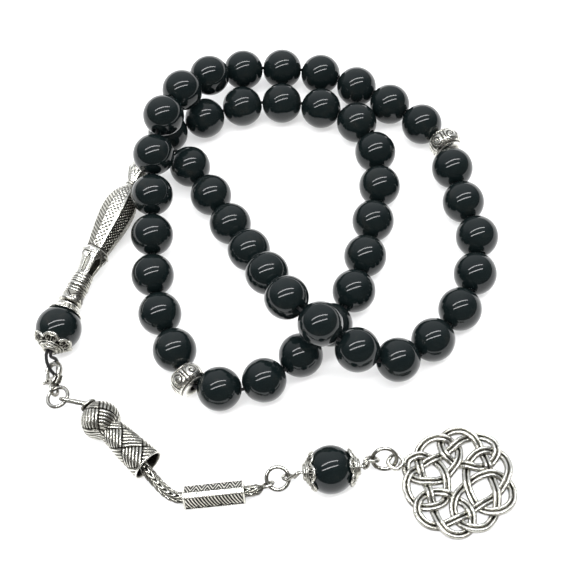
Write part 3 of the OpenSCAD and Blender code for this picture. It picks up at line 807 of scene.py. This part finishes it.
tube(body, clasp_place([[0, -2.7, 0], [0, -3.1, 0], [0, -3.45, 0]]), [0.62, 0.5, 0.42], 14, 0.15)
t = circle(64)
tube(body, clasp_place(np.stack([0 * t, -4.3 + 1.33 * np.cos(t), 1.33 * np.sin(t)], -1)),
     0.38, 14, 0.03, closed=True)
for z in (-0.9, 0.9):
    ball(body, clasp_place([*PIVOT, z * 0.93]), 0.34, 0.05, 8)
body.build("clasp_body_cast", WIRE, "clasp", "clasp_body", blackening_and_shade=0.55)

gate = Shape()
clasp_rod(gate, [(-1.40, -1.75), (-1.62, -0.7), (-1.70, 0.35), (-1.62, 1.15)], 8, 0.50, 0.30,
          ring=lambda k, a: 1 + 0.12 * np.abs(np.cos(a)))
clasp_rod(gate, [PIVOT, (-1.95, -2.0), (-2.5, -1.9), (-2.85, -1.95)], 6, 0.44, 0.30)
ball(gate, clasp_place([-2.72, -1.93, 0]), 0.40, 0.0, 10)
ball(gate, clasp_place([*PIVOT, 0]), 0.50, 0.2, 10)
gate.build("clasp_gate_cast", WIRE, "clasp_gate", "clasp_gate", blackening_and_shade=0.55)

pin = Shape()
tube(pin, clasp_place([[*PIVOT, z] for z in np.linspace(-0.9, 0.9, 8)]), 0.27, 14, 0.1)
pin.build("clasp_pin_riveted", WIRE, "clasp", "clasp_pin")
spring = Shape()
clasp_rod(spring, [(-0.62, -2.85), (-0.72, -2.5), (-0.78, -2.0), (-0.80, -1.7)], 5, 0.10, 0.10, 10, 0.2,
          ring=lambda k, a: 1 + 1.6 * np.abs(np.cos(a)))
spring.build("clasp_spring_leaf", WIRE, "clasp", "clasp_spring")

# -------- woven knot
PLATE_AT, BALL_AT, MOUTH_AT = vec(-46.3, -28, 4.4), vec(-43.3, -32.1, 4.4), vec(-32.9, -43.2, 3.9)
KNOT_EYE_AT = vec(-51.5, -26, 3)
KNOB_R, KNOB_FROM, TUBE_LEN = 4.3, math.radians(28), float(np.linalg.norm(MOUTH_AT - BALL_AT))


def weave(P, Q):
    """Checkerboard of blocks of six ridges; returns lift 0 to 1 and darkness."""
    even = (np.floor(P) + np.floor(Q)) % 2 < 0.5
    f = np.where(even, Q % 1, P % 1)
    g = np.where(even, P % 1, Q % 1)
    wire = np.abs(np.sin(PI * 6 * f)) ** 0.6
    bulge = 0.45 + 0.55 * np.sin(PI * g) ** 0.55
    dark = np.clip(1.12 * (1 - wire) ** 0.8, 0, 1) + 0.85 * smooth(0.075, 0.02, np.minimum(g, 1 - g))
    return wire * bulge, dark


def woven(shape, toward, s, r, turn, blocks, along, height):
    """A revolved profile on the ball's centre, woven all over with so many blocks round it."""
    a = circle(300)[None]
    winding = (a + turn) * blocks / TAU
    h, dark = weave(along[:, None] + winding, along[:, None] - winding)
    shape.grid(around(BALL_AT, toward - BALL_AT, s[:, None], r[:, None] + height * (h - 0.55), a), dark)


knot = Shape()
polar = np.linspace(KNOB_FROM, math.radians(168), 118)
s = KNOB_R * np.cos(polar)
woven(knot, PLATE_AT, s, KNOB_R * np.sin(polar), 0.55, 4,
      (130 - np.degrees(np.arccos(s / KNOB_R))) / 100, 0.30)
lathe(knot, BALL_AT, PLATE_AT - BALL_AT,
      [(KNOB_R * math.cos(KNOB_FROM), r)
       for r in np.linspace(KNOB_R * math.sin(KNOB_FROM), 0.05, 12)], 60, 0.35)
s = np.linspace(3.1, TUBE_LEN - 0.30, 128)
r = np.interp(s, [3.1, 4.4, 7, TUBE_LEN - 2, TUBE_LEN], [2.55, 2.85, 3.12, 3.52, 3.66])
woven(knot, MOUTH_AT, s, r, -0.52, 3, (s - 9.04) / 6.3,
      0.34 * smooth(TUBE_LEN - 0.3, TUBE_LEN - 0.7, s)[:, None])
# the rolled rim and the hollow behind it: distance past the mouth, radius and darkness, the hollow's darkness
# being painted shade
rim = np.array([(-0.42, 3.55, 0.3), (-0.34, 3.72, 0.12), (-0.16, 3.78, 0.02), (-0.02, 3.70, 0.02),
                (0, 3.55, 0.1), (-0.08, 3.36, 0.4), (-0.5, 3.24, 0.75), (-3, 2.9, 0.95), (-6, 2.3, 1),
                (6.6 - TUBE_LEN, 1.75, 1), (6.5 - TUBE_LEN, 0.05, 1)])
lathe(knot, BALL_AT, MOUTH_AT - BALL_AT, rim[:, :2] + (TUBE_LEN, 0), 96, rim[:, 2:])
knot.build("knot_tube_woven", CAST, "knot", "knot_tube", blackening_and_shade=0.12)

# eye of the knot: a bright disc, and a drawn loop springing from it
eye = Shape()
disc = [(-0.02, 0.05), (0, 1.60), (0.10, 1.84), (0.42, 1.90), (0.62, 1.84), (0.72, 1.66), (0.72, 0.05)]
lathe(eye, PLATE_AT, BALL_AT - PLATE_AT, disc, 72, 0.02)
out = unit(PLATE_AT - KNOT_EYE_AT)
loop = teardrop(KNOT_EYE_AT, 1.17, np.cross(unit(np.cross(out, vec(0.5, 0.82, 0.3))), out), PLATE_AT)
tube(eye, loop, 0.42 + 0.10 * smooth(1.6, 3.0, np.linalg.norm(loop - KNOT_EYE_AT, axis=1)), 14, 0.12)
eye.build("knot_eye_wire", CAST, "knot", "knot_eye", blackening_and_shade=0.75)

# -------- braided chain
CHAIN_ROUTE = [(-37.3, -38.7, 4.0), (-33.5, -43.9, 3.1), (-31.8, -46.0, 2.4), (-30.0, -48.1, 2.1),
               (-28.3, -49.6, 2.1), (-26.7, -50.3, 2.25), (-25, -50.38, 2.25), (-10.6, -49.94, 2.25),
               (-9.6, -49.7, 2.1), (-8.8, -49.3, 1.9)]
CHAIN_STEP, PLAIT_PITCH, PLAIT_REACH = 0.1, 1.6, 2.7
chain = Shape()
chain_line = resample(spline(CHAIN_ROUTE, 12), CHAIN_STEP)
chain_end = (len(chain_line) - 1) * CHAIN_STEP
_, chain_u, chain_v = frames(chain_line, start=(0, 0, 1))
# a core painted dark as the shade between the strands
tube(chain, chain_line[:-14], 0.60, 12, 0.9)


def on_chain(dist, turn, r):
    k = np.clip(dist / CHAIN_STEP, 0, len(chain_line) - 1)
    at, u, v = (sample(x, np.arange(len(chain_line)), k) for x in (chain_line, chain_u, chain_v))
    return at + (r * np.cos(turn))[:, None] * u + (r * np.sin(turn))[:, None] * v


q = np.linspace(-1, 1, 17)
for side in range(4):
    where = 0.10 + (PLAIT_PITCH / 2 if side % 2 else 0)
    while where < chain_end - 1.2:
        dist = where + PLAIT_REACH * (1 - np.abs(q) ** 1.2)
        rad = (0.70 + 0.28 * (1 - q * q)) * np.clip((chain_end - dist) / 1.6 + 0.3, 0.3, 1)
        # painted shade: each strand darker towards its edges, where it dives under its neighbours
        tone = (0.08 + 0.62 * np.abs(q) ** 2)[:, None]
        tube(chain, on_chain(dist, side * PI / 2 + q * 0.86, rad), 0.31, 10, tone, caps=False)
        where += PLAIT_PITCH
_, link_u, link_v = axes_of(vec(0.27, -0.71, -0.51))
t = circle(48)[:, None]
tube(chain, vec(-7.5, -48.65, 1.5) + 1.3 * (np.cos(t) * link_u + np.sin(t) * link_v),
     0.33, 12, 0.05, closed=True)
chain.build("chain_braided", CAST, "knot", "chain", blackening_and_shade=0.7)

# -------- slider
SL_FROM, SL_TO = vec(-25.7, -50.4, 2.25), vec(-12.5, -50, 2.25)
SL_LEN = float(np.linalg.norm(SL_TO - SL_FROM))
# wide and narrow facets by turns: first angle, width, distance from the axis, points across
FACETS = ((math.radians(-48.6), 3.87, 1.85, 60), (math.radians(11.4), 1.27, 2.6, 14))
slider = Shape()
rows = np.concatenate([[0.0, 0.05, 0.14], np.arange(0.24, SL_LEN - 0.2, 0.07),
                       [SL_LEN - 0.14, SL_LEN - 0.05, SL_LEN]])
cols = np.array([(base + math.radians(120) * k, x, wide / 2, far, k + 3 * j)
                 for k in range(3) for j, (base, wide, far, count) in enumerate(FACETS)
                 for x in np.linspace(-1, 1, count)[:-1]])
angle, fx, half_wide, far, kind = cols.T[:, None]
S, fx = np.broadcast_arrays(rows[:, None], fx)  # fx runs over a facet, -1 to 1
stamped = kind < 3
edge_round = -0.10 * smooth(0.86, 1.0, np.abs(fx))
inside = (smooth(0.42, 0.60, S) * smooth(SL_LEN - 0.42, SL_LEN - 0.60, S)
          * smooth(0.94, 0.88, np.abs(fx)) * stamped)
u = (S - 0.55) / ((SL_LEN - 1.1) / 5)  # five groups of strokes along it
cu = (u % 1 - 0.5) * 2
# facet towards the back: nested chevrons
chevrons = np.abs(np.sin(PI * ((((fx + 1) / 2) * 1.9 + np.abs(cu) * 1.9) % 1))) ** 1.2
# the other two: fans of slanting strokes over scalloped feet
foot = 0.80 - 0.30 * np.abs(cu) ** 2.2
fan = (u * 3.4 - (fx * 0.75 + 0.2 * fx**2) * 1.5) % 1
strokes = np.maximum(np.where(fx > foot, 0.35, np.abs(np.sin(PI * fan)) ** 1.2), bell(fx, foot, 0.045))
ridges = np.where(kind == 0, chevrons, strokes)
shade = np.where(kind == 0, 2.8 * (0.97 - chevrons),
                 2.4 * (0.93 - strokes) + 0.45 * smooth(foot, foot + 0.06, fx))
dark = inside * np.clip(shade, 0, 1)
dark += (0.8 * bell(np.abs(fx), 0.93, 0.03) * stamped
         * smooth(0.2, 0.4, S) * smooth(SL_LEN - 0.2, SL_LEN - 0.4, S))
dark += 0.6 * bell(S, 0.45, 0.06) + 0.6 * bell(S, SL_LEN - 0.45, 0.06)
shrink = 0.16 * (1 - np.sqrt(np.clip(
    1 - np.clip((0.16 - np.minimum(S, SL_LEN - S)) / 0.16, 0, 1) ** 2, 0, 1)))
axis, up, side = axes_of(SL_TO - SL_FROM)
ca, sa = np.cos(angle)[..., None], np.sin(angle)[..., None]
out_by = (far + edge_round + inside * 0.22 * (ridges - 1) - shrink)[..., None]
P = (SL_FROM + S[..., None] * axis + out_by * (ca * up + sa * side)
     + (fx * half_wide)[..., None] * (ca * side - sa * up))
slider.grid(P, dark)
for ring, s0, sign in ((P[0], 0.0, 1), (P[-1], SL_LEN, -1)):  # ends, each with a well painted dark as shade
    centre = SL_FROM + s0 * axis
    rel = ring - centre
    rel = rel - (rel @ axis)[:, None] * axis
    dist = np.linalg.norm(rel, axis=1)[:, None]
    well = [rel, rel / dist * (1.5 + (dist - 1.5) * 0.35), rel / dist * 1.52,
            rel / dist * 1.46, rel / dist * 1.46]
    slider.grid(np.array([centre + step + z * axis
                          for step, z in zip(well, (0, 0.0, 0.0, 0.12 * sign, 3.0 * sign))]),
                np.array([0.1, 0.25, 0.5, 0.8, 1.0])[:, None])
slider.build("slider_stamped", CAST, "slider", "slider", blackening_and_shade=0.3)

# -------- pendant
PENDANT_AT, BAIL_AT, PENDANT_R = vec(33.7, -50.9, 0), vec(20.45, -45.75, 1.95), 12.8
LACE_AT = vec(33.9, -51.1, 0)
# centre line of the one strap that laces the whole knot, about LACE_AT
LACE = [
    (-8.1, 7.7), (-6.3, 9.7), (-3.7, 10.4), (-1.1, 9.5), (0.6, 7.5), (0.1, 4.8), (-1.6, 2.7), (-3.7, 1.0),
    (-6.4, 0.6), (-9.1, 1.1), (-11.1, 3.0), (-10.7, 5.6), (-8.3, 6.6), (-5.7, 5.9), (-3.8, 3.9), (-3.0, 1.2),
    (-3.1, -1.5), (-4.0, -4.0), (-6.5, -5.1), (-9.2, -4.6), (-11.1, -2.7), (-11.7, -0.0), (-10.7, 2.5),
    (-8.5, 4.0), (-6.0, 5.2), (-3.4, 6.2), (-1.1, 7.6), (1.2, 9.2), (3.8, 10.1), (6.5, 9.8), (8.5, 8.1),
    (8.6, 5.5), (6.7, 3.5), (4.1, 3.0), (1.4, 3.8), (-1.1, 4.8), (-2.8, 6.9), (-2.9, 9.6), (-1.0, 11.5),
    (1.7, 11.7), (3.9, 10.2), (5.2, 7.8), (6.0, 5.1), (6.5, 2.4), (7.0, -0.3), (7.3, -3.0), (7.0, -5.7),
    (5.9, -8.2), (3.9, -10.1), (1.2, -10.3), (-1.2, -8.9), (-2.3, -6.4), (-1.8, -3.8), (-0.1, -1.6),
    (2.1, 0.0), (4.6, 1.1), (7.3, 1.3), (9.7, -0.1), (10.8, -2.5), (10.2, -5.2), (8.1, -6.8), (5.4, -7.0),
    (3.1, -5.6), (1.8, -3.1), (1.3, -0.4), (1.6, 2.3), (2.7, 4.8), (4.9, 6.4), (7.6, 6.5), (10.0, 5.3),
    (10.8, 2.7), (10.0, 0.1), (8.5, -2.1), (6.4, -3.9), (3.9, -5.2), (1.5, -6.5), (-0.9, -7.7), (-3.5, -8.6),
    (-6.2, -9.2), (-8.7, -8.2), (-10.0, -5.8), (-9.2, -3.2), (-6.9, -1.8), (-4.2, -2.0), (-1.8, -3.3),
    (0.3, -5.0), (1.4, -7.5), (0.8, -10.1), (-1.6, -11.4), (-4.2, -10.7), (-5.7, -8.4), (-6.4, -5.8),
    (-6.7, -3.0), (-7.2, -0.3), (-8.0, 2.3), (-8.4, 5.0)
]


def lace(shape, curve, mid, swing, width):
    """A closed ribbon with two rails and a dark groove, passing over and under itself by turns."""
    n = len(curve)
    d = np.roll(curve, -1, 0) - curve
    w = curve[None] - curve[:, None]
    den = d[:, None, 0] * d[None, :, 1] - d[:, None, 1] * d[None, :, 0]
    with np.errstate(divide="ignore", invalid="ignore"):
        ta = (w[..., 0] * d[None, :, 1] - w[..., 1] * d[None, :, 0]) / den
        tb = (w[..., 0] * d[:, None, 1] - w[..., 1] * d[:, None, 0]) / den
    hit = (ta >= 0) & (ta < 1) & (tb >= 0) & (tb < 1) & (np.abs(den) > 1e-12)
    keys = np.sort([x for i, k in zip(*np.nonzero(hit)) if 4 <= k - i <= n - 4
                    for x in (i + ta[i, k], k + tb[i, k])])
    over = np.where(np.arange(len(keys)) % 2, -1.0, 1.0)
    level = np.interp(np.arange(n), np.concatenate([keys - n, keys, keys + n]), np.tile(over, 3))
    level = np.sin(level * PI / 2)[:, None]
    t = np.roll(curve, -1, 0) - np.roll(curve, 1, 0)
    t /= np.linalg.norm(t, axis=1)[:, None]
    side = np.stack([-t[:, 1], t[:, 0]], -1)
    # section: rails above, a flat back below
    q = np.linspace(-1, 1, 25)
    rails = np.clip(0.52 * np.sqrt(np.clip(1 - ((np.abs(q) - 0.52) / 0.48) ** 2, 0, 1)), 0.03, 1)
    sx = np.concatenate([q * width / 2, np.array([0.50, 0.40, 0, -0.40, -0.50]) * width])
    sz = np.concatenate([rails, [-0.25, -0.55, -0.60, -0.55, -0.25]])
    # the groove is dark; the outer edges and the flat back are painted shade
    dark = np.concatenate([0.95 * bell(q, 0, 0.10) + 0.25 * smooth(0.94, 1.0, np.abs(q)),
                           [0.55, 0.8, 0.8, 0.8, 0.55]])
    flat = curve[:, None] + sx[None, :, None] * side[:, None]
    p = np.concatenate([flat, (mid + swing * level + sz)[..., None]], -1)
    # painted shade: darker where the strap passes under another part of it
    shape.grid(p, dark + smooth(-0.35, -0.95, level) * 0.30, close_rows=True)


pendant = Shape()
strap = resample(spline(np.column_stack([LACE, np.zeros(len(LACE))]), 12, closed=True), 0.22, closed=True)
lace(pendant, strap[:, :2] + LACE_AT[:2], 1.10, 0.40, 1.86)
bail_dir = unit((BAIL_AT - PENDANT_AT) * (1, 1, 0))
stem = [PENDANT_AT + bail_dir * (PENDANT_R + past) + vec(0, 0, z)
        for past, z in ((-0.9, 1.0), (-0.2, 1.25), (0.45, 1.6))]
tube(pendant, spline(stem, 6), 0.72, 14, 0.2, ring=lambda k, a: 1 - 0.18 * np.abs(np.sin(a * 2)))
t = circle(72)
bail_r = 1.55 * (1 + 0.05 * np.cos(4 * t))
tube(pendant, BAIL_AT + np.stack([bail_r * np.cos(t), bail_r * np.sin(t), 0 * t], -1),
     0.46, 14, 0.05, closed=True)
pendant.build("pendant_cast", CAST, "pendant", "pendant", blackening_and_shade=0.3)

# -------- floor, room and lights
floor_m, floor_t, floor_s = new_material("studio_floor")
feed(floor_t, floor_s, {
    "Base Color": ramp(floor_t, noise(floor_t, 6, 2), [(0.3, (0.93, 0.93, 0.93)), (0.7, (0.95, 0.95, 0.95))]),
    "Roughness": 0.9, "Specular IOR Level": 0.1})
floor_mesh = bpy.data.meshes.new("studio_floor")
floor_mesh.from_pydata([(-3, -3, 0), (3, -3, 0), (3, 3, 0), (-3, 3, 0)], [], [(0, 1, 2, 3)])
floor_mesh.materials.append(floor_m)
floor = new_object("studio_floor", floor_mesh)
floor.location = (0, 0, -0.0001)

world = bpy.data.worlds.new("room")
bpy.context.scene.world = world
world.use_nodes = True
room = world.node_tree
room.nodes.clear()
back = room.nodes.new("ShaderNodeBackground")
room.links.new(back.outputs[0], room.nodes.new("ShaderNodeOutputWorld").inputs[0])
height = room.nodes.new("ShaderNodeVectorMath")
height.operation = "DOT_PRODUCT"
feed(room, height, {0: room.nodes.new("ShaderNodeTexCoord").outputs["Generated"], 1: (-0.10, 0.80, 0.60)})
feed(room, back, {"Strength": 1.0, "Color": ramp(room, span(room, height.outputs["Value"], 0, 1, -0.6, 1.0), [
    (0.0, (0.16, 0.15, 0.14)), (0.45, (0.13, 0.13, 0.13)), (0.62, (0.20, 0.21, 0.22)),
    (0.80, (0.55, 0.57, 0.60)), (1.0, (0.80, 0.82, 0.85))])})


def lamp(name, at, aim, along, width, depth, power):
    """A rectangular lamp whose long side lies along the given direction."""
    data = bpy.data.lights.new(name, "AREA")
    data.shape = "RECTANGLE"
    data.size, data.size_y, data.energy = width, depth, power
    obj = new_object(name, data)
    d = unit(aim - at)
    xa = unit(along - (along @ d) * d)
    obj.matrix_world = (Matrix.Translation(Vector(at))
                        @ Matrix((xa, np.cross(-d, xa), -d)).transposed().to_4x4())
    return obj


slope = vec(1, 0.26, 0)
lamp("tube_far", vec(-0.03, 0.16, 0.80), vec(0, 0, 0), slope, 1.35, 0.05, 4.2)
lamp("tube_near", vec(-0.03, -0.20, 0.80), vec(0, 0, 0), slope, 1.35, 0.05, 4.2)
fill = lamp("fill_above", vec(0, 0, 1.5), vec(0, 0, 0), vec(1, 0, 0), 1.6, 1.6, 22.0)
fill.visible_glossy = False
fill.data.use_shadow = False
bpy.context.scene.view_settings.view_transform = "Standard"
